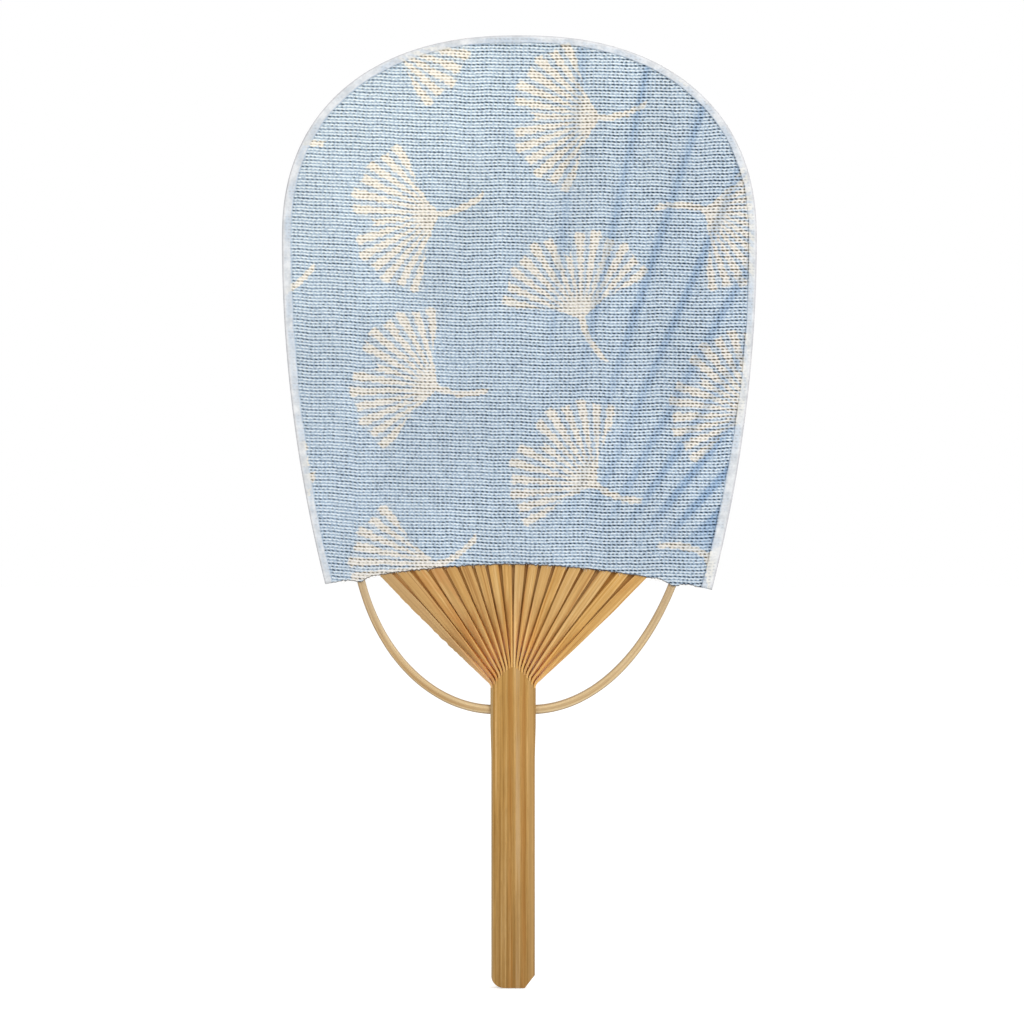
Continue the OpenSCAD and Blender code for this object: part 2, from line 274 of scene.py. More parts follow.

# Ribs: each mesh stores how much painted shade it gets deep in a gap, how grey it is (tint), and how
# much painted light it gets on its edges and in the slits.
ribFinish, tree, shader, grain, wood = makeBamboo(
    "ribFinish", (240, 196, 128), (220, 170, 96), (188, 130, 58), 0.36, 0.45)
across = partsOf(tree, grain)["X"]
# painted shade: the ribs darker towards the left and lighter towards the right, as the light falls
# from the right
color = brighten(tree, wood["Color"], rise(tree, across, -0.009, 0.007, 0.78, 0.855))
stain = cloud(tree, scaled(tree, grain, 230, 230, 34), 1, 2, 0.55)
color = mixColor(tree, rise(tree, stain, 0.56, 0.72, 0, 0.7), color, srgb(190, 124, 54))
# painted shade on the rib faces that look into the gaps between the two rows, darkest under the cloth
# edge
color = tinted(tree, stored(tree, "paintedGapShade"), color, (0.56, 0.42, 0.22, 1))
color = mixColor(tree, times(tree, stored(tree, "tint"), 0.6), color, srgb(178, 152, 116))
# painted light: highlights on the rib edges, lighter slits near the root and lighter gaps towards the
# left
color = brighten(tree, color, plus(tree, 1.0, stored(tree, "paintedLight")))
surface(tree, shader, color, wood["Roughness"], wood["Height"], 0.05, 0.5, 0.2)

# Bow: a darker stripe along its middle, dark sides, and duller towards the leaf.
bowFinish, tree, shader, grain, wood = makeBamboo(
    "bowFinish", (240, 214, 170), (226, 196, 146), (196, 156, 102), 0.26, 0.3)
across = calc(tree, "ABSOLUTE", partsOf(tree, grain)["X"])
stripe = rise(tree, across, 0.0006, 0.0003, 0, 0.5)
color = mixColor(tree, stripe, wood["Color"], srgb(186, 150, 104))
color = mixColor(tree, rise(tree, across, 0.0011, 0.0016, 0, 0.6), color, srgb(146, 112, 74))
high = partsOf(tree, objectPlace(tree))["Z"]
color = mixColor(tree, rise(tree, high, 0.078, 0.108, 0, 0.5), color, srgb(190, 166, 134))
color = brighten(tree, color, 0.86)
surface(tree, shader, color, wood["Roughness"], wood["Height"], 0.05, 0.5, 0.35)
print("bamboo finishes made")

# Weave: pairs of thick weft rows with a dark line of gaps between the pairs, in mm; the gaps are
# coloured with painted shade and the rows with a painted highlight.
weave, given, out = makeGroup("clothWeave", [
    ("Place", vectorSocket, None), ("Row", floatSocket, 2.55), ("Stitch", floatSocket, 1.75),
    ("Slope", floatSocket, 0.0166), ("Bend", floatSocket, -0.000163),
], [("Gaps", floatSocket), ("ThreadShine", floatSocket), ("Height", floatSocket)])
place = scaled(weave, given["Place"], 1000, 1000, 1000)
x, z = partsOf(weave, place)["X"], partsOf(weave, place)["Z"]
lift = times(weave, times(weave, x, x), given["Bend"])
lift = plus(weave, lift, times(weave, x, given["Slope"]))
lift = plus(weave, lift, centred(weave, cloud(weave, scaled(weave, place, 0.045, 0, 0.006)), 2.4))
lift = plus(weave, lift, centred(weave, cloud(weave, scaled(weave, place, 0.3, 0, 0.3)), 0.3))
sway = centred(weave, cloud(weave, scaled(weave, place, 0.12, 0, 0.25)), 1.6)  # uneven stitches
count = calc(weave, "DIVIDE", plus(weave, x, sway), given["Stitch"])
phase = times(weave, count, 2 * math.pi)
lift = plus(weave, lift, times(weave, calc(weave, "SINE", phase), 0.05))
level = calc(weave, "DIVIDE", plus(weave, z, lift), given["Row"])
nearLine = calc(weave, "ABSOLUTE", centred(weave, calc(weave, "FRACT", level), 1.0))
fromLine = minus(weave, 0.5, nearLine)  # 0 on a line of gaps, 0.5 half way
ownRow = joined(weave, X=calc(weave, "FLOOR", plus(weave, count, 0.5)),
                Y=calc(weave, "FLOOR", level))
fate = chanceOf(weave, ownRow)["Value"]  # each hole's own size
beat = calc(weave, "COSINE", phase)
holes = rise(weave, beat, -0.9, 0.6, 0.3, 1.14)
holes = times(weave, holes, rise(weave, fate, 0.0, 1.0, 0.6, 1.15))
strong = cloud(weave, scaled(weave, place, 0.02, 0, 0.06), 1, 2, 0.6)
strong = rise(weave, strong, 0.3, 0.7, 0.65, 1.15)
gapsDarkerRight = rise(weave, x, -75, 65, 0.76, 1.12)  # the gaps are darker towards the right
line = times(weave, rise(weave, fromLine, 0.165, 0.045), times(weave, holes, strong))
# the smaller gaps half way between two lines lie a quarter of a stitch to the left
lateBeat = calc(weave, "COSINE", plus(weave, phase, 1.43))
between = times(weave, rise(weave, fromLine, 0.3, 0.45), rise(weave, lateBeat, -0.6, 0.6))
between = times(weave, between, rise(weave, fate, 0.0, 1.0, 0.32, 0.72))
fuzz = cloud(weave, scaled(weave, place, 1.1, 0, 1.5), 1, 3, 0.7)
gaps = times(weave, calc(weave, "MAXIMUM", line, between), gapsDarkerRight)
gaps = plus(weave, gaps, centred(weave, fuzz, 1.6))
weave.links.new(rise(weave, gaps, -0.05, 0.95), out["Gaps"])
# painted highlight along the middle of each thread row
rowShine = rise(weave, calc(weave, "ABSOLUTE", minus(weave, fromLine, 0.27)), 0.22, 0.04)
weave.links.new(times(weave, rowShine, rise(weave, fuzz, 0.39, 0.57, 0.15, 1.0)), out["ThreadShine"])
weave.links.new(minus(weave, times(weave, rowShine, 0.5), gaps), out["Height"])

# Print: one ginkgo leaf in each cell of a half-drop lattice, each turned its own way.
ginkgo = {"cellWide": 64.0, "cellHigh": 70.0, "radius": 36.0, "foot": 11.0, "turnSeed": 3.7,
          "startX": 9.0, "startZ": 21.0, "jitterX": 5.0, "jitterZ": 9.0, "lobes": 17.0, "veins": 34.0}
printed, given, out = makeGroup("ginkgoPrint", [("Place", vectorSocket, None)],
                                [("Mask", floatSocket)])
place = scaled(printed, given["Place"], 1000, 1000, 1000)
rough = addNode(printed, "ShaderNodeTexNoise", {
    "Vector": scaled(printed, place, 0.5, 0, 0.75), "Scale": 1.0, "Detail": 1.0}).outputs["Color"]
rough = addNode(printed, "ShaderNodeVectorMath", {0: rough, 1: (0.5, 0.5, 0.5)},
                operation="SUBTRACT").outputs[0]
place = addNode(printed, "ShaderNodeVectorMath", {0: place, 1: scaled(printed, rough, 3.0, 0, 2.6)},
                operation="ADD").outputs[0]
x = plus(printed, partsOf(printed, place)["X"], ginkgo["startX"])
z = plus(printed, partsOf(printed, place)["Z"], ginkgo["startZ"])
column = calc(printed, "FLOOR", calc(printed, "DIVIDE", x, ginkgo["cellWide"]))
odd = calc(printed, "MODULO", plus(printed, column, 8.0), 2.0)
z = plus(printed, z, times(printed, odd, ginkgo["cellHigh"] / 2))
row = calc(printed, "FLOOR", calc(printed, "DIVIDE", z, ginkgo["cellHigh"]))
chance = chanceOf(printed, joined(printed, X=column, Y=row, Z=ginkgo["turnSeed"]))
jitter = partsOf(printed, chance["Color"])
u = minus(printed, x, times(printed, plus(printed, column, 0.5), ginkgo["cellWide"]))
u = minus(printed, u, centred(printed, jitter["X"], ginkgo["jitterX"]))
v = minus(printed, z, times(printed, plus(printed, row, 0.5), ginkgo["cellHigh"]))
v = minus(printed, v, centred(printed, jitter["Y"], ginkgo["jitterZ"]))
turn = times(printed, chance["Value"], 2 * math.pi)
turned = addNode(printed, "ShaderNodeVectorRotate", {
    "Vector": joined(printed, X=u, Y=v), "Angle": turn}, rotation_type="Z_AXIS").outputs[0]
u = partsOf(printed, turned)["X"]
v = plus(printed, partsOf(printed, turned)["Y"], ginkgo["foot"])  # from the foot of the blade
reach = calc(printed, "SQRT", plus(printed, times(printed, u, u), times(printed, v, v)))
angle = calc(printed, "ARCTAN2", u, v)
spread = calc(printed, "ABSOLUTE", angle)
share = calc(printed, "DIVIDE", reach, ginkgo["radius"])
notch = rise(printed, spread, 0.16, 0.0, 0, 0.3)
lobes = times(printed, calc(printed, "COSINE", times(printed, angle, ginkgo["lobes"])), 0.022)
fall = times(printed, times(printed, spread, spread), 0.085)
limit = minus(printed, minus(printed, plus(printed, 1.0, lobes), notch), fall)
blade = rise(printed, minus(printed, limit, share), -0.012, 0.012)
halfAngle = plus(printed, times(printed, share, 0.42), 0.88)
blade = times(printed, blade, rise(printed, minus(printed, halfAngle, spread), -0.02, 0.02))
veins = calc(printed, "COSINE", times(printed, angle, ginkgo["veins"]))
veins = times(printed, rise(printed, veins, 0.0, -0.5), rise(printed, share, 0.2, 0.36))
blade = times(printed, blade, minus(printed, 1.0, times(printed, veins, 0.85)))
curl = times(printed, times(printed, v, v), 0.018)
stalk = rise(printed, calc(printed, "ABSOLUTE", minus(printed, u, curl)), 1.5, 1.1)
ends = times(printed, rise(printed, v, 1.5, 0.5), rise(printed, v, -18.5, -17.5))
stalk = times(printed, stalk, ends)
printed.links.new(calc(printed, "MAXIMUM", blade, stalk), out["Mask"])

clothFinish, tree, shader = makeMaterial("clothFinish")
place = objectPlace(tree)
woven = placeGroup(tree, weave, {"Place": place})
mask = placeGroup(tree, printed, {"Place": place})["Mask"]
wear = cloud(tree, scaled(tree, place, 420, 0, 700), 1, 2, 0.6)
mask = times(tree, mask, rise(tree, wear, 0.28, 0.42, 0.45, 1.0))
# each thread row carries a painted highlight, from its own colour up to near white
ground = mixColor(tree, woven["ThreadShine"], srgb(160, 181, 203), srgb(241, 250, 255))
motif = mixColor(tree, woven["ThreadShine"], srgb(222, 216, 205), srgb(255, 252, 248))
ink = mixColor(tree, mask, ground, motif)
# painted shade in the openings and grooves of the weave, bluish on the ground and brownish under the
# print
holeShadeColor = mixColor(tree, mask, srgb(50, 66, 84), srgb(104, 96, 80))
color = mixColor(tree, woven["Gaps"], ink, holeShadeColor)
fade = cloud(tree, scaled(tree, place, 28, 0, 16), 1, 2, 0.5)
color = brighten(tree, color, rise(tree, fade, 0.3, 0.7, 0.94, 1.04))
towardsTopLeft = minus(tree, partsOf(tree, place)["Z"], times(tree, partsOf(tree, place)["X"], 0.6))
towardsTopLeft = rise(tree, towardsTopLeft, 0.17, 0.4)  # paler and warmer towards the top left
color = brighten(tree, color, rise(tree, towardsTopLeft, 0.0, 1.0, 0.975, 1.16))
color = tinted(tree, towardsTopLeft, color, (1.0, 0.97, 0.905, 1))
# painted shadow: a dark line along the cut edge of the cloth
cutEdgeShadow = rise(tree, stored(tree, "cut"), 0.62, 0.25, 0, 0.85)
color = mixColor(tree, cutEdgeShadow, color, srgb(70, 58, 50))
# painted shade in the bands where the cloth sags between the ribs
color = tinted(tree, stored(tree, "paintedSagShade"), color, (0.62, 0.73, 0.87, 1))
surface(tree, shader, color, 0.92, woven["Height"], 0.22, 0.7, 0.15)

backingFinish, tree, shader = makeMaterial("backingFinish")
place = objectPlace(tree)
pulp = cloud(tree, scaled(tree, place, 90, 0, 90), 1, 4, 0.65)
strand = cloud(tree, scaled(tree, place, 240, 0, 1500), 1, 3, 0.7)
color = mixColor(tree, rise(tree, pulp, 0.3, 0.7), srgb(232, 228, 217), srgb(240, 237, 227))
# painted shade where the backing sags between the ribs
color = tinted(tree, stored(tree, "paintedSagShade"), color, (0.88, 0.86, 0.82, 1))
color = mixColor(tree, rise(tree, strand, 0.6, 0.74, 0, 0.4), color, srgb(222, 213, 194))
surface(tree, shader, color, 0.86, plus(tree, strand, times(tree, pulp, 0.6)), 0.12, 0.6, 0.2)

bindingFinish, tree, shader = makeMaterial("bindingFinish")
place = objectPlace(tree)
woven = placeGroup(tree, weave, {"Place": place})
pulp = cloud(tree, scaled(tree, place, 260, 260, 260), 1, 4, 0.7)
mask = placeGroup(tree, printed, {"Place": place})["Mask"]
under = mixColor(tree, mask, srgb(178, 198, 218), srgb(236, 231, 216))
under = mixColor(tree, times(tree, woven["Gaps"], 0.75), under, srgb(84, 98, 114))
inset = stored(tree, "inset")
veil = cloud(tree, scaled(tree, place, 120, 120, 120), 1, 2, 0.5)
show = times(tree, rise(tree, inset, 0.05, 0.5), rise(tree, veil, 0.35, 0.65, 0.05, 0.5))
show = calc(tree, "MAXIMUM", show, rise(tree, inset, 0.72, 1.0, 0, 0.75))
depth = partsOf(tree, place)["Y"]
show = times(tree, show, rise(tree, depth, 0.0, -0.001))  # only on the printed side
color = mixColor(tree, rise(tree, pulp, 0.3, 0.7), srgb(203, 206, 209), srgb(234, 235, 236))
color = mixColor(tree, show, color, under)
# painted shade: a grey line along the fold at the rim
color = mixColor(tree, rise(tree, inset, 0.22, 0.03, 0, 0.5), color, srgb(178, 174, 178))
color = mixColor(tree, rise(tree, depth, 0.0, 0.001, 0, 0.8), color, srgb(236, 234, 228))
relief = minus(tree, pulp, times(tree, woven["Gaps"], 0.4))
surface(tree, shader, color, 0.7, relief, 0.1, 0.6, 0.3)

threadFinish, tree, shader = makeMaterial("threadFinish")
place = objectPlace(tree)
twist = cloud(tree, scaled(tree, place, 3000, 3000, 3000), 1, 2, 0.6)
color = mixColor(tree, rise(tree, twist, 0.35, 0.65), srgb(206, 198, 180), srgb(242, 238, 226))
surface(tree, shader, color, 0.9, twist, 0.1, 0.8, 0.5)
print("cloth, paper and thread finishes made")

# Leaf outline, as in the solids. x is from the leaf's middle line, z from the butt.
leaf = {"width": 189.6, "wideZ": 298.8, "topHigh": 81.6, "power": 2.3, "cornerZ": 160.0,
        "taper": 17.6, "archRise": 9.0, "archPower": 1.8, "tilt": 0.9, "shift": 2.5, "stringIn": 5.0}
cornerHalf = leaf["width"] / 2 - leaf["taper"]


def sideHalf(z):
    down = (leaf["wideZ"] - z) / (leaf["wideZ"] - leaf["cornerZ"])
    return leaf["width"] / 2 - leaf["taper"] * down ** 2


def lowerEdge(x):
    hollow = 1 - min(abs(x) / cornerHalf, 1) ** leaf["archPower"]
    return leaf["cornerZ"] + leaf["archRise"] * hollow - x * math.tan(math.radians(leaf["tilt"]))


def insideLeaf(x, z, inset=0.0):
    x = abs(x - leaf["shift"])
    if z <= leaf["wideZ"]:
        return x < sideHalf(z) - inset
    high = ((z - leaf["wideZ"]) / (leaf["topHigh"] - inset)) ** leaf["power"]
    return (x / (leaf["width"] / 2 - inset)) ** leaf["power"] + high < 1


def lastTrue(test, low, high):
    for step in range(26):
        middle = (low + high) / 2
        low, high = (middle, high) if test(middle) else (low, middle)
    return low


# Ribs fan out from the slat's head. place counts them from the middle of a row.
slat = {"wide": 17.4, "headWide": 18.1, "thick": 6.0, "headStart": 92.0, "headFull": 105.0,
        "roundWide": 5.4, "roundHigh": 4.8, "roundSteps": 8, "cutWide": 4.1, "cutHigh": 5.2,
        "edge": 1.1, "endEdge": 0.5, "edgeSteps": 5, "holeZ": 111.0, "holeWide": 4.0, "holeSides": 48}
ribs = {"front": 18, "rear": 17, "rootZ": 128.2, "rootDrop": 9.2, "rootPower": 1.5, "kerf": 0.14,
        "pitch": 5.85, "spread": 0.115, "bend": 2.5, "flat": 34.0, "full": 45.0, "wide": 4.2,
        "thick": 0.6, "tipWide": 3.2, "tipInset": 1.0, "gap": 0.27, "twistMid": 1.2,
        "twistOut": 0.95, "rings": 46, "ringPower": 1.6, "edge": 0.18, "seed": 11, "uneven": 0.25,
        "waver": 0.12, "settle": 20.0, "chip": 0.35, "nick": 0.2, "chipTop": 70.0, "leftGapLight": 0.6,
        "rootPaintedLight": 0.6, "rootPaintedLightLong": 28.0, "edgePaintedHighlight": 0.18, "shadeFrom": 20.0, "shadeLong": 24.0}
cubeEdge = 0.1  # width of the rounded edges on the unit cube that each rib starts as
rootPitch = slat["headWide"] / ribs["front"]
rootDeep = slat["thick"] / 2 - ribs["gap"]
lastPlace = (ribs["front"] - 1) / 2
layerOut = ribs["gap"] + ribs["thick"]


def rootHeight(x):
    off = min(abs(x) * 2 / slat["headWide"], 1)
    return ribs["rootZ"] - ribs["rootDrop"] * off ** ribs["rootPower"]


def stringX(place):
    return place * ribs["pitch"] * (1 + ribs["spread"] * (place / lastPlace) ** 2)


def ribLine(place):
    x = place * rootPitch
    z = rootHeight(x)
    target = stringX(place)
    targetZ = lowerEdge(target - leaf["shift"]) + leaf["stringIn"]
    return x, z, math.atan2(target - x, targetZ - z - ribs["bend"] / 2)


def ribPoint(line, r):
    x, z, angle = line
    part = angle * min(r, ribs["bend"]) / ribs["bend"]
    run = max(r - ribs["bend"], 0)
    if abs(angle) < 0.0002:
        side, up = 0.0, min(r, ribs["bend"])
    else:
        radius = ribs["bend"] / angle
        side, up = radius * (1 - math.cos(part)), radius * math.sin(part)
    return x + side + run * math.sin(angle), z + up + run * math.cos(angle), part


def ribDepth(r, reach):
    if r < ribs["full"]:
        return rootDeep + (ribs["wide"] - rootDeep) * (r / ribs["full"]) ** 2
    return mix(ribs["wide"], ribs["tipWide"], (r - ribs["full"]) / (reach - ribs["full"]))


def ribReach(line):
    angle = line[2]

    def tipFits(r):
        x, z = ribPoint(line, r)[:2]
        side, up = ribs["tipWide"] / 2 * math.cos(angle), -ribs["tipWide"] / 2 * math.sin(angle)
        return (insideLeaf(x + side, z + up, ribs["tipInset"])
                and insideLeaf(x - side, z - up, ribs["tipInset"]))
    return lastTrue(tipFits, ribs["full"], 400)


def chamfered(c, half):
    near = (0.5 - abs(c)) / cubeEdge  # 0 on a side, 1 where its rounded edge ends
    flat = (half - ribs["edge"]) * abs(c) / (0.5 - cubeEdge)
    return math.copysign(half - ribs["edge"] * near if near < 1 else flat, c)


def makeRib(name, place, side, node):
    line = ribLine(place)
    reach = ribReach(line)
    rootWide = rootPitch - ribs["kerf"]
    twistPower = mix(ribs["twistMid"], ribs["twistOut"], abs(place) / lastPlace)
    rough = place + lastPlace < 0.1 and side < 0  # the outermost left one is chipped and grey
    luck = random.Random(ribs["seed"] * 100 + round(place * 2) + side * 40)
    widthLuck, waver = luck.uniform(-ribs["uneven"], ribs["uneven"]), luck.uniform(0, 90)
    ownTint = 0.85 if rough else luck.uniform(0, 0.4)
    leftGapLight = max(-place, 0) / lastPlace  # towards the left: less painted shade and more painted light in the gaps
    bm = bmesh.new()
    bmesh.ops.create_cube(bm, size=1.0)
    corners = longEdges(bm)
    bmesh.ops.bevel(bm, geom=corners, offset=cubeEdge, offset_type="OFFSET", segments=2, profile=0.5,
                    affect="EDGES", material=-1)
    rings = ribs["rings"] * (4 if rough else 1)
    bmesh.ops.subdivide_edges(bm, edges=longEdges(bm), cuts=rings, use_grid_fill=True)
    grain = bm.verts.layers.float_vector.new("grain")
    paintedGapShade, tint, paintedLight = [bm.verts.layers.float.new(key) for key in ("paintedGapShade", "tint", "paintedLight")]
    for v in bm.verts:
        r = reach * (v.co.z + 0.5) ** ribs["ringPower"]
        x, z, heading = ribPoint(line, r)
        turn = math.radians(90) * min(r / ribs["flat"], 1) ** twistPower
        away = ease(r / ribs["settle"])
        half = ribDepth(r, reach) / 2
        thick = mix(rootWide, ribs["thick"], r / ribs["flat"]) / 2
        halfY = half * math.cos(turn) + thick * math.sin(turn)
        y = side * (ribs["gap"] + halfY)
        turn *= -1 if place < 0 else 1
        half += away * (widthLuck / 2 + ribs["waver"] * wander(waver, r, 7, v.co.y * 9)) * 0.5
        t, d = chamfered(v.co.x, thick), chamfered(v.co.y, half)
        stray = away * ribs["waver"] * wander(waver, r, 16)
        sideways = t * math.cos(turn) + d * math.sin(turn) + stray
        deep = d * math.cos(turn) - t * math.sin(turn)
        v[grain] = at(place * rootPitch + t, side * (ribs["gap"] + rootDeep / 2) + d, line[1] + r)
        if rough and sideways < 0:
            chips = ribs["chip"] * abs(wander(waver, r, 3.1)) + ribs["nick"] * wander(3, r, 1.3)
            sideways += away * chips * ease((ribs["chipTop"] - r) / 20)
        # painted shade deep in the gaps: faint near the root, full under the cloth, less of it
        # towards the left
        shade = mix(0.1, 1.0, ease((r - ribs["shadeFrom"]) / ribs["shadeLong"]))
        v[paintedGapShade] = ease((0.15 - side * deep / halfY) / 0.8) * shade * (1 - ribs["leftGapLight"] * leftGapLight)
        v[tint] = ownTint
        # painted highlight on the rounded rib edges, painted light on the sides in the slits near the
        # root
        onSide, onEdge = abs(v.co.x) > 0.49, abs(v.co.y) > 0.43
        rootPaintedLight = ribs["rootPaintedLight"] * ease(1 - r / ribs["rootPaintedLightLong"])
        v[paintedLight] = rootPaintedLight if onSide else ribs["edgePaintedHighlight"] if onEdge else 0.0
        # painted light on the rear ribs towards the left, seen in the gaps
        if side > 0:
            v[paintedLight] += ribs["leftGapLight"] * leftGapLight
        v.co = at(x + sideways * math.cos(heading), y + deep, z - sideways * math.sin(heading))
    makePiece(bm, name, ribFinish, [node], 40)


for row, count, side in (("front", ribs["front"], -1), ("rear", ribs["rear"], 1)):
    for i in range(count):
        node = f"{row}_rib_{i + 1:02d}"
        makeRib(f"{row}_split_{i + 1:02d}", i - (count - 1) / 2, side, node)
print("ribs made")


# Handle: a slat cut from its outline, rounded, with a step for each rib at its head.
def makeHandle():
    half, head, top = slat["wide"] / 2, slat["headWide"] / 2, rootHeight(slat["headWide"] / 2)
    outline = [(half - slat["cutWide"], 0), (half, slat["cutHigh"]), (half, slat["headStart"]),
               (head, slat["headFull"]), (head, top), (-head, top), (-head, slat["headFull"]),
               (-half, slat["headStart"])]
    for step in range(slat["roundSteps"] + 1):
        turn = math.radians(step * 90 / slat["roundSteps"])
        outline.append((-half + slat["roundWide"] * (1 - math.cos(turn)),
                        slat["roundHigh"] * (1 - math.sin(turn))))
    bm = bmesh.new()
    face = bm.faces.new([bm.verts.new(at(x, slat["thick"] / 2, z)) for x, z in outline])
    made = bmesh.ops.extrude_face_region(bm, geom=[face])["geom"]
    bmesh.ops.translate(bm, verts=[v for v in made if isinstance(v, bmesh.types.BMVert)],
                        vec=(0, -slat["thick"] * mm, 0))
    bmesh.ops.recalc_face_normals(bm, faces=bm.faces[:])
    weight = bm.edges.layers.float.new("bevel_weight_edge")
    for e in bm.edges:
        a, b = e.verts[0].co, e.verts[1].co
        if abs(a.y - b.y) < 1e-7 and min(a.z, b.z) < (top - gripHeight) * mm - 1e-6:
            low = max(a.z, b.z) < (slat["cutHigh"] - gripHeight + 0.1) * mm
            e[weight] = slat["endEdge"] / slat["edge"] if low else 1.0
    piece = makePiece(bm, "handle_slat", handleFinish, ["handle"])
    rounded = piece.modifiers.new("rounded", "BEVEL")
    rounded.limit_method, rounded.width = "WEIGHT", slat["edge"] * mm
    rounded.segments = slat["edgeSteps"]
    drill = bmesh.new()
    holeRadius = slat["holeWide"] / 2 * mm
    bmesh.ops.create_cone(drill, cap_ends=True, segments=slat["holeSides"], radius1=holeRadius,
                          radius2=holeRadius, depth=0.03)
    toSide = Vector((0, 0, 1)).rotation_difference(Vector((1, 0, 0))).to_matrix()
    bmesh.ops.rotate(drill, verts=drill.verts[:], matrix=toSide)
    bmesh.ops.translate(drill, verts=drill.verts[:], vec=at(0, 0, slat["holeZ"]))
    drillObject = addObject("drill", meshOf(drill, "drill"))
    hole = piece.modifiers.new("hole", "BOOLEAN")
    hole.operation, hole.solver, hole.object = "DIFFERENCE", "EXACT", drillObject
    depsgraph = bpy.context.evaluated_depsgraph_get()
    solid = bpy.data.meshes.new_from_object(piece.evaluated_get(depsgraph))
    piece.modifiers.clear()
    bpy.data.objects.remove(drillObject)
    bm = bmesh.new()
    bm.from_mesh(solid)
    # a ledge under each rib, up to where its split ends
    for count, side in ((ribs["front"], -1), (ribs["rear"], 1)):
        for i in range(count):
            x = (i - (count - 1) / 2) * rootPitch
            high = rootHeight(x) - top
            if high < 0.01:
                continue
            ledge = bmesh.ops.create_cube(bm, size=1.0)["verts"]
            middle = at(x, side * (ribs["gap"] + rootDeep / 2), top + high / 2)
            bmesh.ops.scale(bm, verts=ledge, vec=(rootPitch * mm, rootDeep * mm, high * mm))
            bmesh.ops.translate(bm, verts=ledge, vec=middle)
    grain = bm.verts.layers.float_vector.new("grain")
    for v in bm.verts:
        v[grain] = v.co
    bm.to_mesh(piece.data)
    bm.free()
    makeSmooth(piece.data, 38)


makeHandle()
print("handle made")

# Bow: one cane from tip to tip, round in its hole and shaved flat towards the leaf.
bow = {"bendIn": 2.0, "arcWide": 61.3, "arcHigh": 89.4, "skew": 1.6, "wide": 3.8, "neckWide": 3.2,
       "neckThick": 1.5, "tipWide": 2.4, "tipThick": 1.1, "tipPast": 4.0, "windLong": 2.0,
       "uneven": 0.025, "squareness": 3.4, "armRings": 54, "midRings": 9, "corners": 20}
bowStraight = slat["headWide"] / 2 - bow["bendIn"]


def armPoint(side, a):
    up = bow["arcHigh"] * (1 - math.cos(a))
    shift = bow["skew"] * (up / (leaf["cornerZ"] - slat["holeZ"])) ** 2
    return side * (bowStraight + bow["arcWide"] * math.sin(a)) + shift, slat["holeZ"] + up


def armAngle(side, height):
    def below(a):
        x, z = armPoint(side, a)
        return z - lowerEdge(x - leaf["shift"]) < height
    return lastTrue(below, math.radians(10), math.radians(85))


def armStations(side):
    neck, thinned = armAngle(side, 0), armAngle(side, leaf["stringIn"] - bow["windLong"])
    tip = armAngle(side, leaf["stringIn"] + bow["tipPast"])
    stations = []
    for k in range(1, bow["armRings"] + 1):
        a = tip * k / bow["armRings"]
        if a < neck:
            wide = mix(bow["wide"], bow["neckWide"], a / neck)
            thick = mix(bow["wide"], bow["neckThick"], ease((a * 2 - neck) / neck))
        else:
            past = (a - neck) / (thinned - neck)
            wide = mix(bow["neckWide"], bow["tipWide"], past)
            thick = mix(bow["neckThick"], bow["tipThick"], past)
        x, z = armPoint(side, a)
        wide *= 1 + bow["uneven"] * wander(x, z, 9, 5) * ease(a / neck * 3)
        stations.append((x, z, wide, thick, ease(a / neck * 4)))
    return stations


def makeBow():
    middle = [(x, slat["holeZ"], bow["wide"], bow["wide"], 0.0) for x in
              [bowStraight * (2 * k / (bow["midRings"] - 1) - 1) for k in range(bow["midRings"])]]
    stations = armStations(-1)[::-1] + middle + armStations(1)
    last = len(stations) - 1
    run = [0.0]
    for a, b in zip(stations, stations[1:]):
        run.append(run[-1] + math.dist(a[:2], b[:2]))
    bm = bmesh.new()
    bmesh.ops.create_cone(bm, cap_ends=True, segments=bow["corners"], radius1=1, radius2=1, depth=1)
    bmesh.ops.subdivide_edges(bm, edges=longEdges(bm), cuts=last - 1, use_grid_fill=True)
    grain = bm.verts.layers.float_vector.new("grain")
    for v in bm.verts:
        k = round((v.co.z + 0.5) * last)
        x, z, wide, thick, squared = stations[k]
        a, b = stations[max(k - 1, 0)], stations[min(k + 1, last)]
        way = Vector((b[0] - a[0], b[1] - a[1])).normalized()
        power = 2 / mix(2.0, bow["squareness"], squared)  # round in the hole, squarish on the arms
        across = wide / 2 * math.copysign(abs(v.co.x) ** power, v.co.x)
        deep = thick / 2 * math.copysign(abs(v.co.y) ** power, v.co.y)
        v[grain] = Vector((across * mm, deep * mm, run[k] * mm))
        v.co = at(x - way.y * across, deep, z + way.x * across)
    bmesh.ops.recalc_face_normals(bm, faces=bm.faces[:])
    makePiece(bm, "bow_cane", bowFinish, ["bow"], 50)


makeBow()
print("bow made")

# Cloth and backing: columns run along the ribs, rows from the cut edge to the rim.
cloth = {"columns": 280, "rows": 112, "rowPower": 1.25, "frontThick": 0.35, "rearThick": 0.25,
         "sag": 0.36, "fallOver": 3.0, "bandHalf": 2.6, "bandSoft": 2.0, "armFlat": 1.4,
         "armSoft": 2.4, "gapSagAndShade": 0.8, "gapLuck": 0.9, "rearLoose": 0.6, "ripple": 0.05,
         "rimFlat": 7.0, "frayHigh": 6.0, "ragged": 0.55, "bowDip": 1.6, "dipWide": 3.2}
armLine, armEdge = {}, {}  # where each arm of the bow runs behind the cloth, and enters it
for side in (-1, 1):
    tip = armAngle(side, leaf["stringIn"] + bow["tipPast"])
    armLine[side] = [armPoint(side, a * tip / 60) for a in range(48, 61)]
    armEdge[side] = armPoint(side, armAngle(side, 0))[0]


def entersAt(line):
    def below(r):
        x, z = ribPoint(line, r)[:2]
        return z < lowerEdge(x - leaf["shift"])
    return lastTrue(below, 3, 140)


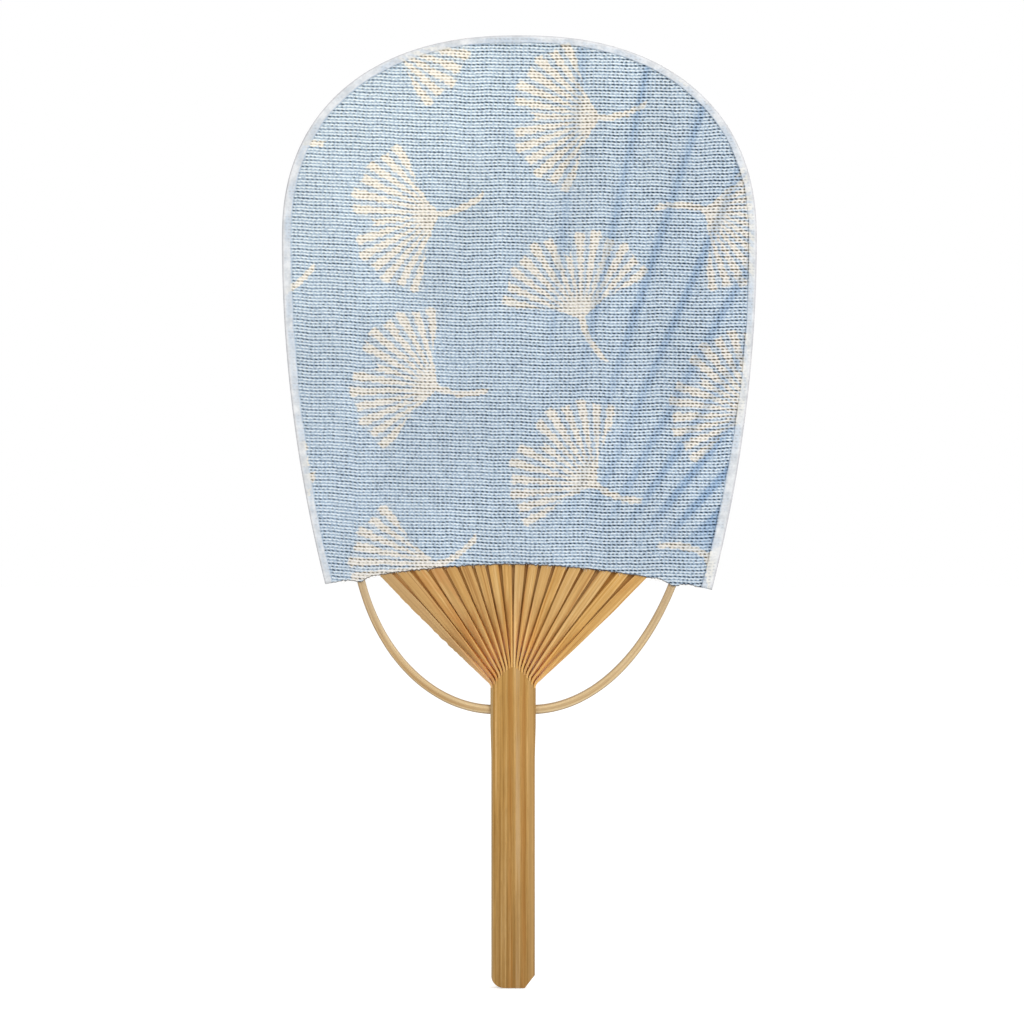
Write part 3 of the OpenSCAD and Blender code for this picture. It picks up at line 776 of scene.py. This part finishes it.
def leavesAt(line, start):
    def within(r):
        x, z = ribPoint(line, r)[:2]
        return insideLeaf(x, z)
    return lastTrue(within, start, 420)


def edgePlace(side):
    def within(place):
        line = ribLine(side * place)
        return abs(ribPoint(line, entersAt(line))[0] - leaf["shift"]) < cornerHalf
    return side * lastTrue(within, 8, 16)


clothSides = (edgePlace(-1), edgePlace(1))


def sagAt(place, r, x, z, side):
    if side < 0:
        nearest = min(max(math.floor(place) + 0.5, -lastPlace), lastPlace)
    else:
        nearest = min(max(round(place), 0.5 - lastPlace), lastPlace - 0.5)
    a, b = ribPoint(ribLine(nearest - 0.5), r), ribPoint(ribLine(nearest + 0.5), r)
    pitch = math.dist(a[:2], b[:2])
    fromMiddle = (0.5 - abs(place - nearest)) * pitch
    away = abs(place - nearest) * pitch - ribs["wide"] / 2 + 0.2
    low = cloth["sag"] * ease(away / min(cloth["fallOver"], max(pitch - ribs["wide"], 1.0) / 2))
    arm = armLine[-1 if x < 0 else 1]
    if z < arm[-1][1] + 4:
        near = min(math.dist((x, z), p) for p in arm)
        low *= ease((near - cloth["armFlat"]) / cloth["armSoft"])
    return low, ease((cloth["bandHalf"] - fromMiddle) / cloth["bandSoft"])


def bowDips(x):
    return sum(bump(x - armEdge[s], cloth["dipWide"]) for s in (-1, 1)) * cloth["bowDip"]


def makeSheet(name, side, thick, material, node):
    bm = bmesh.new()
    bmesh.ops.create_grid(bm, x_segments=cloth["columns"], y_segments=cloth["rows"], size=0.5)
    cut, paintedSagShade = bm.verts.layers.float.new("cut"), bm.verts.layers.float.new("paintedSagShade")
    rays = []
    for k in range(cloth["columns"] + 1):
        place = mix(clothSides[0], clothSides[1], k / cloth["columns"])
        line = ribLine(place)
        start = entersAt(line)
        rays.append((place, line, start, leavesAt(line, start)))
    for v in bm.verts:
        place, line, start, end = rays[round((v.co.x + 0.5) * cloth["columns"])]
        r = mix(start, end, (v.co.y + 0.5) ** cloth["rowPower"])
        x, z = ribPoint(line, r)[:2]
        low, band = sagAt(place, r, x, z, side)
        gapNumber = round(place) if side < 0 else math.floor(place)
        sagAndShade = cloth["gapSagAndShade"] + cloth["gapLuck"] * wander(gapNumber * 7.3, r, 70, 5)
        sagAndShade *= ease((x + 15) / 70) if side < 0 else cloth["rearLoose"]  # front: most at the right
        low *= (0.8 + 0.6 * sagAndShade) * ease((end - r) / cloth["rimFlat"])
        # painted shade down the middle of each sag, strongest where the cloth is loosest; the same
        # factor sets how deep it sags
        v[paintedSagShade] = band * sagAndShade * ease((r - start - 4) / 40)
        soft = cloth["ripple"] * wander(x, z, 14, 3 * side) * ease((end - r) / cloth["rimFlat"])
        fromCut = r - start
        v[cut] = fromCut
        if fromCut < cloth["frayHigh"]:
            near = 1 - ease(fromCut / cloth["frayHigh"])
            dips = bowDips(x) if side < 0 else 0
            frayed = cloth["ragged"] * (wander(x, 0, 0.95, 9) + 0.6 * wander(x, 0, 4.0, 2))
            z += near * ((frayed if side < 0 else 0.5 * frayed) - dips) * ease((end - start) / 8)
        v.co = at(x, side * (layerOut + thick - low + soft), z)
    bmesh.ops.remove_doubles(bm, verts=bm.verts[:], dist=0.00001)
    if side > 0:
        bmesh.ops.reverse_faces(bm, faces=bm.faces[:])
    piece = makePiece(bm, name, material, [node])
    solid = piece.modifiers.new("thickness", "SOLIDIFY")
    solid.thickness, solid.offset = thick * mm, -1
    return piece


frontCloth = makeSheet("front_cloth", -1, cloth["frontThick"], clothFinish,
                       "front_leaf")
rearBacking = makeSheet("rear_backing", 1, cloth["rearThick"], backingFinish,
                        "rear_leaf")
print("cloth and backing made")

# Binding: a strip of thin paper folded round the rim, from corner to corner.
binding = {"stations": 430, "across": 22, "thick": 0.09, "back": 3.4, "uneven": 0.35, "lift": 0.02,
           "sideShare": 0.36, "rimInset": 0.15, "rimOut": 0.2, "crease": 0.27, "creaseWide": 0.45,
           "creaseLean": 1.6, "creases": 60, "seed": 5, "sideSteps": 120, "topSteps": 400}
# its width on the front at shares of the rim, clockwise from the lower left corner
bindingWidths = [(0.0, 3.0), (0.2, 3.75), (0.5, 2.9), (0.8, 3.1), (1.0, 4.3)]


def rimPoints():
    points = []
    sideSteps, topSteps = binding["sideSteps"], binding["topSteps"]
    for k in range(sideSteps):
        z = mix(lowerEdge(-cornerHalf), leaf["wideZ"], k / sideSteps)
        points.append((-sideHalf(z), z))
    for k in range(topSteps + 1):
        a = math.pi * (1 - k / topSteps)
        c, s = math.cos(a), max(math.sin(a), 0)
        points.append((leaf["width"] / 2 * math.copysign(abs(c) ** (2 / leaf["power"]), c),
                       leaf["wideZ"] + leaf["topHigh"] * s ** (2 / leaf["power"])))
    for k in range(sideSteps, -1, -1):
        z = mix(lowerEdge(cornerHalf), leaf["wideZ"], k / sideSteps)
        points.append((sideHalf(z), z))
    return points


def evenly(points, count):
    run = [0.0]
    for a, b in zip(points, points[1:]):
        run.append(run[-1] + math.dist(a, b))
    found, k = [], 0
    for n in range(count + 1):
        goal = run[-1] * n / count
        while k < len(points) - 2 and run[k + 1] < goal:
            k += 1
        share = (goal - run[k]) / max(run[k + 1] - run[k], 1e-9)
        a, b = points[k], points[k + 1]
        found.append((mix(a[0], b[0], share), mix(a[1], b[1], share)))
    return found, run[-1]


rim, rimLong = evenly(rimPoints(), binding["stations"])


def bindingWide(s):
    for (start, a), (end, b) in zip(bindingWidths, bindingWidths[1:]):
        if s <= end:
            return mix(a, b, ease((s - start) / (end - start)))


def makeBinding():
    luck = random.Random(binding["seed"])
    folds = [(luck.uniform(0.02, 0.98), luck.uniform(-1, 1), luck.uniform(0.4, 1.2))
             for n in range(binding["creases"])]
    frontY = layerOut + cloth["frontThick"] + binding["lift"]
    rearY = layerOut + cloth["rearThick"] + binding["lift"]
    sideShare, rimInset = binding["sideShare"], binding["rimInset"]
    bm = bmesh.new()
    bmesh.ops.create_grid(bm, x_segments=binding["stations"], y_segments=binding["across"], size=0.5)
    insetLayer = bm.verts.layers.float.new("inset")
    for v in bm.verts:
        n = round((v.co.x + 0.5) * binding["stations"])
        s, q = n / binding["stations"], v.co.y + 0.5
        a, b = rim[max(n - 1, 0)], rim[min(n + 1, binding["stations"])]
        way = Vector((b[0] - a[0], b[1] - a[1])).normalized()
        outX, outZ = -way.y, way.x
        run = s * rimLong
        uneven = wander(run, 0, 11, 4) + 0.5 * wander(run, 0, 2.5, 6)
        wide = bindingWide(s) + binding["uneven"] * uneven
        back = binding["back"] + binding["uneven"] * 1.4 * wander(run, 0, 13, 8)
        crease = 0
        for centre, lean, size in folds:
            off = (s - centre) * rimLong
            if abs(off) < 4:
                off -= lean * binding["creaseLean"] * (q - 0.25)
                crease += size * bump(off, binding["creaseWide"])
        lift = binding["crease"] * (crease + 0.5 * wander(run, q * 8, 2.2, 2))
        if q < sideShare:  # over the front
            y = -(frontY + 0.03 * abs(lift) + max(lift, 0))
            inset = max(mix(wide, rimInset, q / sideShare), rimInset)
        elif q > 1 - sideShare:  # over the back
            y = rearY + max(lift, 0)
            inset = mix(rimInset, back, (q - 1 + sideShare) / sideShare)
        else:  # round the rim
            turn = math.pi * (q - sideShare) / (1 - 2 * sideShare)
            y = (rearY - frontY) / 2 - (frontY + rearY) / 2 * math.cos(turn)
            inset = rimInset - (binding["rimOut"] + 0.05 * lift) * math.sin(turn)
        x, z = rim[n]
        v[insetLayer] = max(inset, 0.0) / wide if q < 0.5 else 0.18
        v.co = at(x + leaf["shift"] + outX * -inset, y, z + outZ * -inset)
    bmesh.ops.recalc_face_normals(bm, faces=bm.faces[:])
    sample = max(bm.faces, key=lambda f: f.calc_center_median().z)
    if sample.normal.z < 0:
        bmesh.ops.reverse_faces(bm, faces=bm.faces[:])
    piece = makePiece(bm, "rim_paper", bindingFinish, ["edge_binding"])
    solid = piece.modifiers.new("thickness", "SOLIDIFY")
    solid.thickness, solid.offset = binding["thick"] * mm, 1
    return piece


rimPaper = makeBinding()
print("binding made")

# Loose thread ends along the cut edge of the cloth.
fray = {"count": 150, "wide": 0.13, "shortest": 0.35, "longest": 1.5, "shortShare": 0.6,
        "lean": 1.2, "curve": 1.5, "high": 0.25, "endLeft": 5.0, "endRight": 6.0, "seed": 21}


def makeFray():
    luck = random.Random(fray["seed"])
    bm = bmesh.new()
    for n in range(fray["count"]):
        x = luck.uniform(-cornerHalf + fray["endLeft"], cornerHalf - fray["endRight"])
        z = lowerEdge(x) + fray["high"]
        x += leaf["shift"]
        z -= bowDips(x)
        lean = luck.uniform(-fray["lean"], fray["lean"])
        curve = luck.uniform(-fray["curve"], fray["curve"])
        long = luck.uniform(fray["shortest"], fray["longest"])
        long *= 0.5 if luck.random() < fray["shortShare"] else 1
        depth = -(layerOut + luck.uniform(0.08, 0.3))
        first = len(bm.verts)
        bmesh.ops.create_cone(bm, cap_ends=True, segments=5, radius1=0.35, radius2=0.5, depth=1)
        bmesh.ops.subdivide_edges(bm, edges=longEdges(bm), cuts=3, use_grid_fill=True)
        bm.verts.ensure_lookup_table()
        for v in bm.verts[first:]:
            down = 0.5 - v.co.z
            bendBy = lean * down + curve * down * down
            v.co = at(x + v.co.x * fray["wide"] + bendBy * long * 0.5, depth + v.co.y * fray["wide"],
                      z - down * long)
    return makePiece(bm, "frayed_threads", threadFinish)


frayedThreads = makeFray()
steps = 200
for k in range(steps):
    x = cornerHalf * (2 * (k + 0.5) / steps - 1)
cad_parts["weaving_string"].data.materials.clear()
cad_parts["weaving_string"].data.materials.append(threadFinish)

# Studio: pale floor, white surroundings, a big soft lamp on the right, two weaker ones.
studio = {"world": 0.72, "floorSize": 6.0, "floorDrop": 0.2, "floorGlow": 0.5, "lampSize": 1.1,
          "distance": 1.1378, "lens": 100.0, "lookX": -0.00044, "lookZ": 0.14}
lamps = [("keyLamp", (0.9, -1.35, 1.25), 17.0), ("fillLamp", (-1.4, -1.2, 0.5), 1.9),
         ("rearLamp", (1.5, 0.9, 0.9), 5.0)]


def seenDirectly(tree):
    seen = addNode(tree, "ShaderNodeLightPath").outputs
    mirrored = calc(tree, "MAXIMUM", seen["Is Glossy Ray"], seen["Is Transmission Ray"])
    return calc(tree, "MAXIMUM", seen["Is Camera Ray"], mirrored)


bm = bmesh.new()
bmesh.ops.create_grid(bm, x_segments=1, y_segments=1, size=studio["floorSize"])
bmesh.ops.translate(bm, verts=bm.verts[:], vec=(0, 0, -(gripHeight + studio["floorDrop"]) * mm))
floor = addObject("floor", meshOf(bm, "floor"))
floorFinish, tree, shader = makeMaterial("floorFinish")
shader["Base Color"].default_value = (0.8, 0.8, 0.8, 1)
shader["Roughness"].default_value = 0.9
shader["Specular IOR Level"].default_value = 0.0
shader["Emission Color"].default_value = (1, 1, 1, 1)
give(tree, shader["Emission Strength"], times(tree, seenDirectly(tree), studio["floorGlow"]))
floor.data.materials.append(floorFinish)

world = bpy.data.worlds.new("studioWorld")
bpy.context.scene.world = world
world.use_nodes = True
tree = world.node_tree
background = tree.nodes["Background"].inputs
background["Color"].default_value = (1, 1, 1, 1)
give(tree, background["Strength"], rise(tree, seenDirectly(tree), 0.0, 1.0, studio["world"], 1.0))

for name, place, power in lamps:
    lamp = bpy.data.lights.new(name, "AREA")
    lamp.energy, lamp.size, lamp.shape = power, studio["lampSize"], "DISK"
    holder = addObject(name, lamp)
    holder.visible_camera = False
    holder.location = place
    away = Vector((0, 0, studio["lookZ"])) - Vector(place)
    holder.rotation_euler = away.to_track_quat("-Z", "Y").to_euler()

camera = bpy.data.cameras.new("camera")
camera.lens = studio["lens"]
camera.clip_start, camera.clip_end = 0.05, 50
holder = addObject("camera", camera)
holder.location = (studio["lookX"], -studio["distance"], studio["lookZ"])
holder.rotation_euler = (math.radians(90), 0, 0)
bpy.context.scene.camera = holder
bpy.context.scene.view_settings.view_transform = "Standard"
print("studio made")
